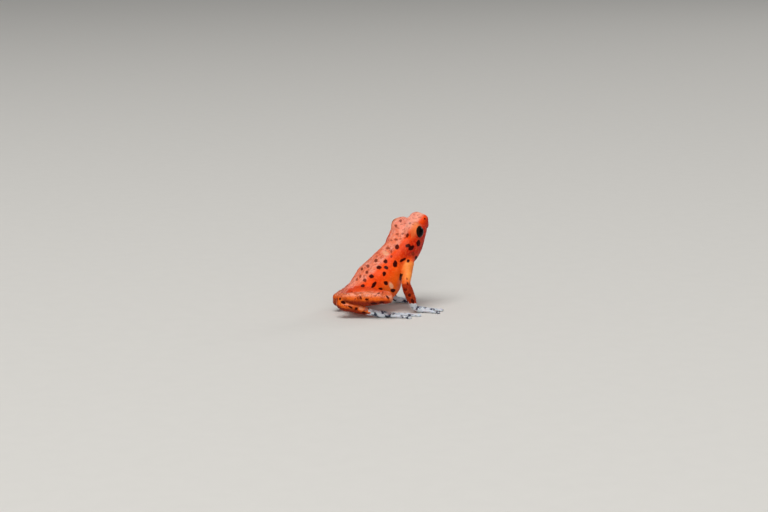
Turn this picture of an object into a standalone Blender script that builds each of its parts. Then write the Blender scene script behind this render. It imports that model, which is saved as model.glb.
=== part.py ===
"""A strawberry poison dart frog at life size, sitting up on flat ground with its head raised.

Lengths below are in millimetres and the finished meshes are scaled to metres.
X runs from the vent towards the snout, Y to the animal's left and Z up, with the ground at zero.
Places along the body are given as a distance from the vent along its curved axis.
"""

import functools
import math

import bmesh
import bpy
import numpy as np
from mathutils import Matrix, Vector

MM = 0.001
GAP = 0.3
WELD = 0.0002
ORIGIN_X = 7.45

# Trunk and head
VENT = (0.8, 0.0, 2.4)
BODY_LENGTH = 19.6
SNOUT_DOME = 1.6
VENT_DOME = 1.3
NECK_AT = 11.9
TRUNK_SIDES = 24
RING_STEP = 0.9
# distance from the vent, then pitch of the axis, turn to the left and roll to the right, in degrees
AXIS = (
    (0.0, 16.0, 0.0, 0.0),
    (2.0, 19.0, 0.0, 1.0),
    (4.1, 30.0, 0.0, 3.0),
    (6.6, 44.0, 0.0, 4.0),
    (9.1, 49.0, 2.0, 6.0),
    (11.6, 47.0, 4.0, 8.0),
    (14.1, 43.0, 6.0, 11.0),
    (16.1, 41.0, 8.0, 14.0),
    (19.6, 41.0, 8.0, 14.0),
)
# distance from the vent, half width, height above the axis, depth below it, squareness
TRUNK = (
    (1.2, 1.9, 1.75, 1.6, 2.0),  # rump
    (2.6, 2.5, 2.05, 2.3, 2.0),  # hips
    (4.0, 3.15, 2.4, 3.2, 2.0),  # groin
    (5.6, 3.6, 2.75, 4.0, 2.0),  # sacral hump
    (7.0, 3.7, 2.6, 4.2, 2.0),  # belly
    (8.7, 3.4, 2.15, 3.5, 2.0),  # chest
    (10.1, 3.05, 1.9, 3.1, 2.1),  # shoulders
    (11.6, 2.85, 1.7, 3.1, 2.2),  # neck
    (13.3, 3.0, 1.75, 3.1, 2.3),  # angle of the jaw
    (14.7, 3.05, 1.75, 2.8, 2.4),  # ear drum
    (16.0, 2.7, 1.7, 2.4, 2.5),  # eyes
    (18.0, 1.8, 1.25, 1.55, 2.7),  # nostrils
)

# Head details
EYE_AT = 15.8
EYE_OUT = 1.85
EYE_UP = 1.05
EYE_RADIUS = 1.17
EYE_LOOK = (0.3, 0.93, 0.14)
LID_RADIUS = 1.63
LID_SINK = 0.38
NOSTRIL_AT = 18.6
NOSTRIL_ANGLE = 31.0
NOSTRIL_RADIUS = 0.2
# line of the mouth: distance from the vent and angle above the side, then where it meets under the snout
MOUTH = ((13.7, -24.0), (16.5, -24.0), (18.2, -27.0), (19.0, -42.0))
MOUTH_FRONT = 19.3
MOUTH_GROOVE = 0.15
DRUM_AT = 13.9
DRUM_ANGLE = 14.0
DRUM_RADIUS = 0.55
DRUM_DEPTH = 0.12

# Limbs: joint places and radii from the upper joint to the lower one
RIGHT_JOINTS = {
    "hip": (1.6, -1.2, 2.95),
    "knee": (4.9, -6.1, 3.55),
    "knee_turn": (4.75, -6.8, 3.3),
    "heel": (-1.2, -2.0, 3.15),
    "heel_turn": (-1.2, -2.3, 2.2),
    "ankle": (2.7, -4.3, 1.0),
    "shoulder": (11.0, -2.55, 7.6),
    "elbow": (9.2, -4.6, 4.8),
    "wrist": (10.9, -4.5, 0.9),
}
LEFT_JOINTS = {
    "hip": (2.3, 1.3, 2.7),
    "knee": (7.4, 5.9, 3.1),
    "knee_turn": (7.2, 6.6, 2.45),
    "heel": (0.7, 2.3, 2.4),
    "heel_turn": (0.9, 2.6, 1.65),
    "ankle": (4.5, 4.7, 1.0),
    "shoulder": (10.4, 3.05, 8.3),
    "elbow": (10.0, 4.9, 4.9),
    "wrist": (12.1, 3.7, 0.9),
}
THIGH = (1.4, 1.5, 1.4, 1.15, 0.88)
SHANK = (0.7, 0.84, 0.98, 1.0, 0.88, 0.72)
TARSUS = (0.64, 0.76, 0.76, 0.68, 0.6)
UPPER_ARM = (1.05, 0.95, 0.84, 0.76)
FOREARM = (0.74, 0.84, 0.78, 0.55)
LIMB_SIDES = 12

# Hands and feet: direction of each digit from the axis of the sole, its length and root place
PALM = {"length": 1.3, "half_width": 0.75, "half_height": 0.5}
SOLE = {"length": 2.6, "half_width": 0.62, "half_height": 0.54}
FINGERS = ((40.0, 1.5), (15.0, 1.9), (-8.0, 2.9), (-38.0, 2.0))
TOES = ((30.0, 1.7), (17.0, 2.4), (7.0, 3.6), (-3.0, 5.0), (-21.0, 3.4))
DIGIT_RADIUS = 0.31
DIGIT_TIP_RADIUS = 0.25
DIGIT_SIDES = 6
DISC_RADIUS = 0.5
DISC_HEIGHT = 0.3
RIGHT_HAND_HEADING = -5.0
LEFT_HAND_HEADING = 5.0
RIGHT_FOOT_HEADING = -18.0
LEFT_FOOT_HEADING = 14.0

SKIN_COLOUR = (0.80, 0.13, 0.02, 1.0)
FOOT_COLOUR = (0.42, 0.42, 0.45, 1.0)
EYE_COLOUR = (0.01, 0.008, 0.008, 1.0)


def material(name, colour, roughness):
    made = bpy.data.materials.new(name)
    made.use_nodes = True
    shader = made.node_tree.nodes["Principled BSDF"]
    shader.inputs["Base Color"].default_value = colour
    shader.inputs["Roughness"].default_value = roughness
    shader.inputs["Metallic"].default_value = 0.0
    made.diffuse_color = colour
    return made


def spline(at, knots, values):
    """Value at one place of the smooth curve through values at the knots."""
    last = len(knots) - 1
    at = min(max(at, knots[0]), knots[last])
    i = min(int(np.searchsorted(knots, at, side="right")) - 1, last - 1)

    def slope(k):
        low, high = max(k - 1, 0), min(k + 1, last)
        return (values[high] - values[low]) / (knots[high] - knots[low])

    span = knots[i + 1] - knots[i]
    t = (at - knots[i]) / span
    return (
        (2 * t**3 - 3 * t**2 + 1) * values[i]
        + (t**3 - 2 * t**2 + t) * span * slope(i)
        + (3 * t**2 - 2 * t**3) * values[i + 1]
        + (t**3 - t**2) * span * slope(i + 1)
    )


def column(table, place, at):
    rows = np.array(table, float)
    return float(spline(at, rows[:, 0], rows[:, place]))


def axis_direction(at):
    """Direction of the body's axis at a distance from the vent."""
    pitch, turn = (math.radians(column(AXIS, k, at)) for k in (1, 2))
    level = math.cos(pitch)
    return Vector((level * math.cos(turn), level * math.sin(turn), math.sin(pitch)))


@functools.lru_cache(None)
def body_axis(at):
    """Point of the body's axis at a distance from the vent."""
    place = Vector(VENT)
    count = 40
    for k in range(count):
        place += axis_direction(at * (k + 0.5) / count) * (at / count)
    return place


@functools.lru_cache(None)
def body_frame(at):
    """(forward, left, up) of the body's cross section there."""
    forward = axis_direction(at)
    level = Vector((0.0, 0.0, 1.0)).cross(forward).normalized()
    left = Matrix.Rotation(math.radians(column(AXIS, 3, at)), 3, forward) @ level
    return forward, left, forward.cross(left)


def dome(at):
    """How far the rounded ends draw the section in."""
    if at > BODY_LENGTH - SNOUT_DOME:
        run = (at - BODY_LENGTH + SNOUT_DOME) / SNOUT_DOME
    elif at < VENT_DOME:
        run = (VENT_DOME - at) / VENT_DOME
    else:
        run = 0.0
    return math.sqrt(max(1.0 - run * run, 0.0))


def body_point(at, degrees, grow=0.0):
    """Point of the body's surface, at an angle above its left side (90 is the back)."""
    _, left, up = body_frame(at)
    half_width, above, below, square = (column(TRUNK, k, at) for k in range(1, 5))
    angle = math.radians(degrees)
    height = above if math.sin(angle) >= 0.0 else below
    across = abs(math.cos(angle)) / half_width
    along = abs(math.sin(angle)) / height
    reach = (across**square + along**square) ** (-1.0 / square)
    reach = reach * dome(at) + grow
    return body_axis(at) + left * (math.cos(angle) * reach) + up * (math.sin(angle) * reach)


def in_triangles(mesh):
    """Makes every face a triangle, and corners that a Boolean left nearly touching one."""
    work = bmesh.new()
    work.from_mesh(mesh)
    bmesh.ops.remove_doubles(work, verts=work.verts, dist=WELD)
    bmesh.ops.triangulate(work, faces=work.faces)
    work.to_mesh(mesh)
    work.free()


def mesh_object(name, points, faces):
    mesh = bpy.data.meshes.new(name)
    mesh.from_pydata([tuple(p) for p in points], [], faces)
    in_triangles(mesh)
    made = bpy.data.objects.new(name, mesh)
    bpy.context.scene.collection.objects.link(made)
    return made


def skinned(name, rings, start=None, end=None):
    """Closed mesh through rings of points. Each end is a point, or one flat face where it has none."""
    sides = len(rings[0])
    points = [p for ring in rings for p in ring]
    faces = []
    for i in range(len(rings) - 1):
        for k in range(sides):
            a, b = i * sides + k, i * sides + (k + 1) % sides
            faces.append((a, b, b + sides, a + sides))
    first = list(range(sides))
    last = [(len(rings) - 1) * sides + k for k in range(sides)]
    for tip, rim in ((start, first[::-1]), (end, last)):
        if tip is None:
            faces.append(tuple(rim))
            continue
        points.append(tip)
        centre = len(points) - 1
        faces.extend((rim[k], rim[(k + 1) % sides], centre) for k in range(sides))
    return mesh_object(name, points, faces)


def body_length(name, low, high, grow=0.0):
    """Stretch of the body between two places, round at the vent and snout and cut flat elsewhere."""
    places = list(np.arange(math.ceil(low / RING_STEP) * RING_STEP, high, RING_STEP))
    places = [p for p in places if VENT_DOME < p < BODY_LENGTH - SNOUT_DOME]
    start = end = None
    if low <= 0.0:
        turns = np.linspace(0.0, math.pi / 2, 6)[1:]
        places = [VENT_DOME * (1 - math.cos(a)) for a in turns] + places
        start = body_axis(0.0) - body_frame(0.0)[0] * grow
    else:
        places = [low] + [p for p in places if p > low + 0.3]
    if high >= BODY_LENGTH:
        turns = np.linspace(math.pi / 2, 0.0, 7)[:-1]
        places += [BODY_LENGTH - SNOUT_DOME * (1 - math.cos(a)) for a in turns]
        end = body_axis(BODY_LENGTH) + body_frame(BODY_LENGTH)[0] * grow
    else:
        places = [p for p in places if p < high - 0.3] + [high]
    angles = [360.0 * k / TRUNK_SIDES for k in range(TRUNK_SIDES)]
    rings = [[body_point(p, a, grow) for a in angles] for p in places]
    return skinned(name, rings, start, end)


def tube(name, path, radii, grow=0.0, sides=LIMB_SIDES, flat=1.0, cap=1.0, rings=3):
    """Round-ended tube along a smooth path, with a radius at each of its points.

    flat scales its height against its width, and cap the length of its round ends.
    """
    path = [Vector(p) for p in path]
    knots = [0.0]
    for a, b in zip(path, path[1:]):
        knots.append(knots[-1] + (b - a).length)
    radius_knots = np.linspace(0.0, knots[-1], len(radii))
    columns = [[p[k] for p in path] for k in range(3)]

    def point(at):
        return Vector([spline(at, knots, c) for c in columns])

    count = rings * max(len(path) - 1, len(radii) - 1) + 1
    places = np.linspace(0.0, knots[-1], count)
    step = knots[-1] / 200
    made = []
    first = (point(step) - point(0.0)).normalized()
    last = (point(knots[-1]) - point(knots[-1] - step)).normalized()

    def ring(centre, forward, width):
        side = Vector((0.0, 0.0, 1.0)).cross(forward)
        if side.length < 0.2:
            side = Vector((0.0, 1.0, 0.0)).cross(forward)
        side.normalize()
        up = forward.cross(side)
        turns = [2 * math.pi * k / sides for k in range(sides)]
        return [centre + side * (math.cos(a) * width) + up * (math.sin(a) * width * flat) for a in turns]

    start_radius, end_radius = radii[0] + grow, radii[-1] + grow
    for a in np.linspace(math.pi / 2, 0.0, 4)[1:-1]:
        back = point(0.0) - first * (math.sin(a) * start_radius * cap)
        made.append(ring(back, first, math.cos(a) * start_radius))
    for at in places:
        ahead = point(min(at + step, knots[-1])) - point(max(at - step, 0.0))
        width = float(spline(at, radius_knots, radii)) + grow
        made.append(ring(point(at), ahead.normalized(), width))
    for a in np.linspace(0.0, math.pi / 2, 4)[1:-1]:
        on = point(knots[-1]) + last * (math.sin(a) * end_radius * cap)
        made.append(ring(on, last, math.cos(a) * end_radius))
    tips = (point(0.0) - first * (start_radius * cap), point(knots[-1]) + last * (end_radius * cap))
    return skinned(name, made, *tips)


def ball(name, centre, radii, sides=18, rings=10, turn=None):
    """Ellipsoid of the given half sizes, turned by a 3x3 matrix."""
    turn = turn or Matrix.Identity(3)
    rows = []
    for a in np.linspace(-math.pi / 2, math.pi / 2, rings + 1)[1:-1]:
        rows.append(
            [
                Vector(centre)
                + turn
                @ Vector(
                    (
                        radii[0] * math.cos(a) * math.cos(2 * math.pi * k / sides),
                        radii[1] * math.cos(a) * math.sin(2 * math.pi * k / sides),
                        radii[2] * math.sin(a),
                    )
                )
                for k in range(sides)
            ]
        )
    pole = turn @ Vector((0.0, 0.0, radii[2]))
    return skinned(name, rows, Vector(centre) - pole, Vector(centre) + pole)


def apply_boolean(target, operation, tools):
    """Joins the closed meshes in tools to the target, or cuts them from it, and removes them."""
    for tool in tools:
        modifier = target.modifiers.new(operation.lower(), "BOOLEAN")
        modifier.operation = operation
        modifier.solver = "EXACT"
        modifier.object = tool
        graph = bpy.context.evaluated_depsgraph_get()
        result = bpy.data.meshes.new_from_object(target.evaluated_get(graph))
        target.modifiers.clear()
        in_triangles(result)
        target.data = result
        bpy.data.objects.remove(tool)
        keep_largest(target)
    return target


def keep_largest(target):
    """Keeps the closed surface that holds the most, and drops scraps and sealed hollows."""
    mesh = target.data
    owner = list(range(len(mesh.vertices)))

    def root(v):
        while owner[v] != v:
            owner[v] = owner[owner[v]]
            v = owner[v]
        return v

    for edge in mesh.edges:
        owner[root(edge.vertices[0])] = root(edge.vertices[1])
    volume = {}
    mesh.calc_loop_triangles()
    for triangle in mesh.loop_triangles:
        a, b, c = (mesh.vertices[v].co for v in triangle.vertices)
        group = root(triangle.vertices[0])
        volume[group] = volume.get(group, 0.0) + a.dot(b.cross(c))
    if len(volume) < 2:
        return
    kept = max(volume, key=volume.get)
    numbers = [v for v in range(len(mesh.vertices)) if root(v) == kept]
    place = {v: k for k, v in enumerate(numbers)}
    faces = [
        [place[v] for v in polygon.vertices]
        for polygon in mesh.polygons
        if polygon.vertices[0] in place
    ]
    clean = bpy.data.meshes.new(target.name)
    clean.from_pydata([tuple(mesh.vertices[v].co) for v in numbers], [], faces)
    target.data = clean


def floor_cutter():
    """Block under the ground, which leaves a flat where a piece reaches it."""
    size, depth = 60.0, 5.0
    corners = [(x, y, z) for z in (-depth, 0.0) for y in (-size, size) for x in (-size, size)]
    faces = [(0, 2, 3, 1), (4, 5, 7, 6), (0, 1, 5, 4), (2, 6, 7, 3), (0, 4, 6, 2), (1, 3, 7, 5)]
    return mesh_object("floor", corners, faces)


def torso():
    return body_length("torso", 0.0, NECK_AT - GAP / 2)


def grown_body():
    """Trunk and head with the gap all round, to cut back what grows from them."""
    return body_length("grown_body", 0.0, BODY_LENGTH, GAP)


def eye_place(side):
    """(centre, outward direction) of the eyeball. side is 1 on the left and -1 on the right."""
    forward, left, up = body_frame(EYE_AT)
    ahead, across, above = EYE_LOOK
    out = (forward * ahead + left * (side * across) + up * above).normalized()
    return body_axis(EYE_AT) + left * (side * EYE_OUT) + up * EYE_UP, out


def head():
    made = body_length("head", NECK_AT + GAP / 2, BODY_LENGTH)
    lids, sockets = [], []
    for side in (1, -1):
        centre, out = eye_place(side)
        forward = body_frame(EYE_AT)[0]
        across = out.cross(forward).normalized()
        turn = Matrix((across.cross(out), across, out)).transposed()
        size = (LID_RADIUS * 1.05, LID_RADIUS, LID_RADIUS)
        lids.append(ball("lid", centre - out * LID_SINK, size, 18, 11, turn))
        sockets.append(ball("socket", centre, [EYE_RADIUS + GAP] * 3, 18, 11, turn))
    apply_boolean(made, "UNION", lids)
    apply_boolean(made, "DIFFERENCE", sockets + nostrils() + drums() + [mouth_line()])
    return made


def eye(name, side):
    centre, out = eye_place(side)
    turn = out.to_track_quat("Z", "Y").to_matrix()
    return ball(name, centre, [EYE_RADIUS] * 3, 18, 11, turn)


def nostrils():
    return [
        ball("nostril", body_point(NOSTRIL_AT, a), [NOSTRIL_RADIUS] * 3, 8, 6)
        for a in (NOSTRIL_ANGLE, 180.0 - NOSTRIL_ANGLE)
    ]


def drums():
    """Balls that leave the shallow round hollow of each ear drum."""
    ball_radius = (DRUM_RADIUS**2 + DRUM_DEPTH**2) / (2 * DRUM_DEPTH)
    made = []
    for a in (DRUM_ANGLE, 180.0 - DRUM_ANGLE):
        place = body_point(DRUM_AT, a)
        out = (place - body_axis(DRUM_AT)).normalized()
        centre = place + out * (ball_radius - DRUM_DEPTH)
        turn = out.to_track_quat("Z", "Y").to_matrix()
        made.append(ball("drum", centre, [ball_radius] * 3, 14, 20, turn))
    return made


def mouth_line():
    """Groove between the lips, from one angle of the jaw round under the snout to the other."""
    places = list(np.linspace(MOUTH[0][0], MOUTH[-1][0], 11))
    right = [body_point(p, 180.0 - column(MOUTH, 1, p)) for p in places]
    left = [body_point(p, column(MOUTH, 1, p)) for p in places]
    front = body_point(MOUTH_FRONT, -90.0)
    return tube("mouth", right + [front] + left[::-1], [MOUTH_GROOVE] * 2, sides=5, rings=1)


def limb_path(joints, *names):
    """Points through the named joints, with one half way along the last stretch."""
    path = [Vector(joints[name]) for name in names]
    return path[:-1] + [(path[-2] + path[-1]) / 2, path[-1]]


def thigh(joints, grow=0.0):
    return tube("thigh", limb_path(joints, "hip", "knee"), THIGH, grow)


def shank(joints, grow=0.0):
    """The shank starts inside the knee and turns back beside the thigh."""
    return tube("shank", limb_path(joints, "knee", "knee_turn", "heel"), SHANK, grow, rings=2)


def tarsus(joints, grow=0.0):
    """The tarsus starts inside the heel and turns forward under the shank."""
    return tube("tarsus", limb_path(joints, "heel", "heel_turn", "ankle"), TARSUS, grow, rings=2)


def upper_arm(joints, grow=0.0):
    return tube("upper_arm", limb_path(joints, "shoulder", "elbow"), UPPER_ARM, grow)


def forearm(joints, grow=0.0):
    return tube("forearm", limb_path(joints, "elbow", "wrist"), FOREARM, grow)


def splayed(name, root, heading, side, base, digits):
    """Hand or foot: a sole on the ground and its digits, each with a disc at its tip."""
    root = Vector(root)

    def ahead(degrees):
        angle = math.radians(heading + side * degrees)
        return Vector((math.cos(angle), math.sin(angle), 0.0))

    forward = ahead(0.0)
    knuckles = Vector((root.x, root.y, base["half_height"] * 0.8)) + forward * base["length"]
    middle = (root + knuckles) / 2
    middle.z = base["half_height"] * 1.15
    widths = (base["half_width"] * 0.85, base["half_width"], base["half_width"] * 1.1)
    flat = base["half_height"] / base["half_width"]
    made = tube(name, [root, middle, knuckles], widths, flat=flat, cap=0.6)
    pieces = []
    across = forward.cross(Vector((0.0, 0.0, 1.0))) * -side
    count = len(digits)
    for k, (degrees, length) in enumerate(digits):
        share = 1.0 - 2.0 * k / (count - 1)
        start = knuckles + across * (share * base["half_width"] * 0.7) - forward * 0.35
        start.z = base["half_height"] * 0.8
        end = start + ahead(degrees) * (length + 0.35)
        end.z = DISC_HEIGHT * 0.75
        bend = start.lerp(end, 0.5)
        bend.z = start.z * 0.95
        radii = (DIGIT_RADIUS, DIGIT_RADIUS * 0.92, DIGIT_TIP_RADIUS)
        pieces.append(tube("digit", [start, bend, end], radii, sides=DIGIT_SIDES, rings=2))
        turn = Matrix.Rotation(math.radians(heading + side * degrees), 3, "Z")
        size = (DISC_RADIUS * 1.05, DISC_RADIUS, DISC_HEIGHT)
        place = end + ahead(degrees) * (DISC_RADIUS * 0.4)
        pieces.append(ball("disc", place, size, 9, 5, turn))
    apply_boolean(made, "UNION", pieces)
    return made


def hand(name, joints, heading, side):
    return splayed(name, joints["wrist"], heading, side, PALM, FINGERS)


def foot(name, joints, heading, side):
    return splayed(name, joints["ankle"], heading, side, SOLE, TOES)


def finish_node(made, name, cutters, colour):
    """Names a node, parts it from its neighbours and from the ground, and gives it its finish."""
    made.name = made.data.name = name
    if cutters:
        apply_boolean(made, "DIFFERENCE", cutters)
    made.name = made.data.name = name
    made.data.materials.clear()
    made.data.materials.append(colour)
    made.data.shade_smooth()
    made.data.set_sharp_from_angle(angle=math.radians(50.0))
    return made


def arm(side_name, joints, heading, side, skin, grey):
    """Upper arm, forearm and hand, each cut back to meet what it grows from face to face."""
    finish_node(upper_arm(joints), "upper_arm_" + side_name, [grown_body()], skin)
    cutters = [upper_arm(joints, GAP), grown_body()]
    finish_node(forearm(joints), "forearm_" + side_name, cutters, skin)
    cutters = [forearm(joints, GAP), floor_cutter()]
    finish_node(hand("hand", joints, heading, side), "hand_" + side_name, cutters, grey)


def leg(side_name, joints, heading, side, skin, grey):
    """Thigh, shank, tarsus and foot, folded beside the body."""
    finish_node(thigh(joints), "thigh_" + side_name, [grown_body()], skin)
    cutters = [thigh(joints, GAP), grown_body()]
    finish_node(shank(joints), "shank_" + side_name, cutters, skin)
    cutters = [shank(joints, GAP), thigh(joints, GAP)]
    finish_node(tarsus(joints), "tarsus_" + side_name, cutters, skin)
    cutters = [tarsus(joints, GAP), shank(joints, GAP), floor_cutter()]
    finish_node(foot("foot", joints, heading, side), "foot_" + side_name, cutters, grey)


def main():
    for old in list(bpy.data.objects):
        bpy.data.objects.remove(old)
    skin = material("orange_skin", SKIN_COLOUR, 0.35)
    grey = material("grey_skin", FOOT_COLOUR, 0.4)
    black = material("dark_eye", EYE_COLOUR, 0.05)
    finish_node(torso(), "torso", [], skin)
    finish_node(head(), "head", [], skin)
    finish_node(eye("eye", 1), "eye_left", [], black)
    finish_node(eye("eye", -1), "eye_right", [], black)
    arm("right", RIGHT_JOINTS, RIGHT_HAND_HEADING, 1, skin, grey)
    arm("left", LEFT_JOINTS, LEFT_HAND_HEADING, -1, skin, grey)
    leg("right", RIGHT_JOINTS, RIGHT_FOOT_HEADING, 1, skin, grey)
    leg("left", LEFT_JOINTS, LEFT_FOOT_HEADING, -1, skin, grey)
    to_frame = Matrix.Scale(MM, 4) @ Matrix.Translation((-ORIGIN_X, 0.0, 0.0))
    for made in bpy.data.objects:
        made.data.transform(to_frame)


main()
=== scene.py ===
import math
import random

import bmesh
import bpy
import numpy as np
from mathutils import Matrix, Vector, noise
from mathutils.bvhtree import BVHTree


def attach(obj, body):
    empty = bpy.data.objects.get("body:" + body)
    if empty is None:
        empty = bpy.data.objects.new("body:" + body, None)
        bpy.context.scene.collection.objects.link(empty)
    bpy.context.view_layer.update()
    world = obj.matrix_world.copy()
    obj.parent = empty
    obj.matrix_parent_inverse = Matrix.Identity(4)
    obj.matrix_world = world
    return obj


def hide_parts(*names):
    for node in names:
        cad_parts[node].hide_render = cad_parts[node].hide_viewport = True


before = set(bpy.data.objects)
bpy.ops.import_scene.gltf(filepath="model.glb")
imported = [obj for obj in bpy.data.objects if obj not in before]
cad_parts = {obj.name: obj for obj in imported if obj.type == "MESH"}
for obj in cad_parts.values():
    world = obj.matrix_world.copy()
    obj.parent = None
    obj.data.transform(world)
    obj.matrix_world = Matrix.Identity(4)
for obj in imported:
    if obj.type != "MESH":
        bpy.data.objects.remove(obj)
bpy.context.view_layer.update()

# A strawberry poison dart frog at life size, dressed over its solids.
# Meshes are made in millimetres, with x from the vent to the snout, y to the left and z up,
# and go to metres and to the solids' own zero at the end.
mm = 0.001
zeroShift = 7.45  # the solids' zero lies this far ahead of the x used here


def curveThrough(at, knots, values):
    # smooth curve through numbers or points at the knots
    at = np.atleast_1d(np.asarray(at, float))
    knots = np.asarray(knots, float)
    values = np.asarray(values, float)
    if values.ndim == 1:
        values = values[:, None]
    last = len(knots) - 1
    at = np.clip(at, knots[0], knots[-1])
    i = np.clip(np.searchsorted(knots, at, side="right") - 1, 0, last - 1)
    low = np.maximum(np.arange(last + 1) - 1, 0)
    high = np.minimum(np.arange(last + 1) + 1, last)
    slopes = (values[high] - values[low]) / (knots[high] - knots[low])[:, None]
    span = (knots[i + 1] - knots[i])[:, None]
    t = (at - knots[i])[:, None] / span
    return (
        (2 * t**3 - 3 * t**2 + 1) * values[i]
        + (t**3 - 2 * t**2 + t) * span * slopes[i]
        + (3 * t**2 - 2 * t**3) * values[i + 1]
        + (t**3 - t**2) * span * slopes[i + 1]
    )


def unit(vectors):
    vectors = np.asarray(vectors, float)
    return vectors / np.maximum(np.linalg.norm(vectors, axis=-1, keepdims=True), 1e-12)


def smoothStep(low, high, value):
    t = np.clip((value - low) / (high - low), 0.0, 1.0)
    return t * t * (3 - 2 * t)


def bump(distance, width):
    return np.exp(-((distance / width) ** 2))


def runAlong(path):
    # distance along a path at each of its points
    return np.concatenate([[0.0], np.cumsum(np.linalg.norm(np.diff(path, axis=0), axis=1))])


def nearestIndex(points, curve):
    # the nearest point of a curve for each point, and the distance to it
    best, gap = np.empty(len(points), int), np.empty(len(points))
    chunk = 20000
    for k in range(0, len(points), chunk):
        squares = ((points[k : k + chunk, None] - curve[None]) ** 2).sum(axis=2)
        nearest = np.argmin(squares, axis=1)
        best[k : k + chunk] = nearest
        gap[k : k + chunk] = np.sqrt(squares[np.arange(len(nearest)), nearest])
    return best, gap


def gapTo(points, place):
    return np.linalg.norm(points - np.asarray(place), axis=1)


def nearness(points, place, reach):
    # 1 at the place, falling smoothly to 0 at that distance
    return smoothStep(reach, reach * 0.35, gapTo(points, place))


def nearAny(points, regions):
    # which points lie within reach of the places, for (places, reach) pairs
    chosen = np.zeros(len(points), bool)
    for places, reach in regions:
        for place in np.atleast_2d(places):
            chosen |= gapTo(points, place) < reach
    return chosen


# The trunk and head are one body on a curved spine, from the vent to the snout.
bodyPlan = {
    "vent": (0.8, 0.0, 2.4),
    "length": 19.66,
    "snoutRound": 1.6,
    "snoutBlunt": 1.2,  # how much blunter the snout is on top
    "ventRound": 1.3,
    "step": 0.16,
    "sides": 96,
    "neckBow": (12.6, 0.24, 1.7),  # place, size and reach of the neck's bow to the right
    # distance from the vent, pitch of the spine, its turn to the left, roll to the right
    "spine": (
        (0.0, 16.0, 0.0, 0.0),
        (2.0, 19.0, 0.0, 1.0),
        (4.1, 30.0, 0.0, 3.0),
        (6.6, 44.0, 0.0, 4.0),
        (9.1, 49.0, 2.0, 6.0),
        (11.6, 47.0, 4.0, 8.0),
        (14.1, 43.0, 6.0, 11.0),
        (16.1, 41.0, 8.0, 14.0),
        (19.6, 41.0, 8.0, 14.0),
    ),
    # distance from the vent, half width, height over the spine, depth under it, squareness
    "girth": (
        (1.2, 1.9, 1.75, 1.6, 2.0),  # rump
        (2.6, 2.5, 2.05, 2.3, 2.0),  # hips
        (4.0, 3.15, 2.4, 3.2, 2.0),  # groin
        (5.6, 3.6, 2.75, 4.0, 2.0),  # sacral hump
        (7.0, 3.7, 2.6, 4.2, 2.1),  # belly
        (8.7, 3.4, 2.15, 3.5, 2.1),  # chest
        (10.1, 3.05, 1.9, 3.1, 2.1),  # shoulders
        (11.6, 2.78, 1.62, 3.3, 2.1),  # neck
        (13.3, 2.96, 1.7, 3.35, 2.2),  # angle of the jaw
        (14.7, 3.05, 1.75, 2.95, 2.4),  # ear drum
        (16.0, 2.7, 1.7, 2.4, 2.5),  # eyes
        (18.0, 1.78, 1.18, 1.55, 2.7),  # nostrils
    ),
}


def makeSpine():
    # centre line of the body and the three directions of its cross section, every 0.05 mm
    step = 0.05
    at = np.arange(0.0, bodyPlan["length"] + step / 2, step)
    rows = np.array(bodyPlan["spine"])

    def direction(places):
        pitch, turn = np.radians(curveThrough(places, rows[:, 0], rows[:, 1:3])).T
        flat = np.cos(pitch)
        return np.stack([flat * np.cos(turn), flat * np.sin(turn), np.sin(pitch)], axis=1)

    moves = direction(at[:-1] + step / 2) * step
    centre = np.vstack([np.zeros(3), np.cumsum(moves, axis=0)]) + np.array(bodyPlan["vent"])
    forward = direction(at)
    level = unit(np.cross((0.0, 0.0, 1.0), forward))
    roll = np.radians(curveThrough(at, rows[:, 0], rows[:, 3]))
    left = level * np.cos(roll) + np.cross(forward, level) * np.sin(roll)
    place, size, reach = bodyPlan["neckBow"]
    centre -= left * (size * bump(at - place, reach))[:, None]
    return {"at": at, "centre": centre, "forward": forward, "left": left, "up": np.cross(forward, left)}


spine = makeSpine()


def spineAt(at, what):
    columns = [np.interp(at, spine["at"], spine[what][:, k]) for k in range(3)]
    return np.stack(columns, axis=-1)


def bodySurface(at, degrees):
    # points of the body's surface, at angles above its left side, where 90 is the back
    at, degrees = np.broadcast_arrays(np.asarray(at, float), np.asarray(degrees, float))
    shape = at.shape
    at, angle = at.ravel(), np.radians(degrees.ravel())
    rows = np.array(bodyPlan["girth"])
    halfWidth, over, under, square = curveThrough(at, rows[:, 0], rows[:, 1:]).T
    height = np.where(np.sin(angle) >= 0.0, over, under)
    across = np.abs(np.cos(angle)) / halfWidth
    along = np.abs(np.sin(angle)) / height
    reach = (across**square + along**square) ** (-1.0 / square)
    toSnout = (at - bodyPlan["length"] + bodyPlan["snoutRound"]) / bodyPlan["snoutRound"]
    toVent = (bodyPlan["ventRound"] - at) / bodyPlan["ventRound"]
    run = np.clip(np.maximum(toSnout, toVent), 0.0, 1.0)
    curve = 2.0 + bodyPlan["snoutBlunt"] * smoothStep(-0.2, 0.5, np.sin(angle)) * (toSnout > 0.0)
    reach = reach * (1.0 - run**curve) ** (1.0 / curve)
    points = (
        spineAt(at, "centre")
        + spineAt(at, "left") * (np.cos(angle) * reach)[:, None]
        + spineAt(at, "up") * (np.sin(angle) * reach)[:, None]
    )
    return points.reshape(shape + (3,))


def onBody(at, angle, side):
    # point of the body's surface, mirrored to the right side where side is -1
    return bodySurface(at, angle if side > 0 else 180.0 - angle)


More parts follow.
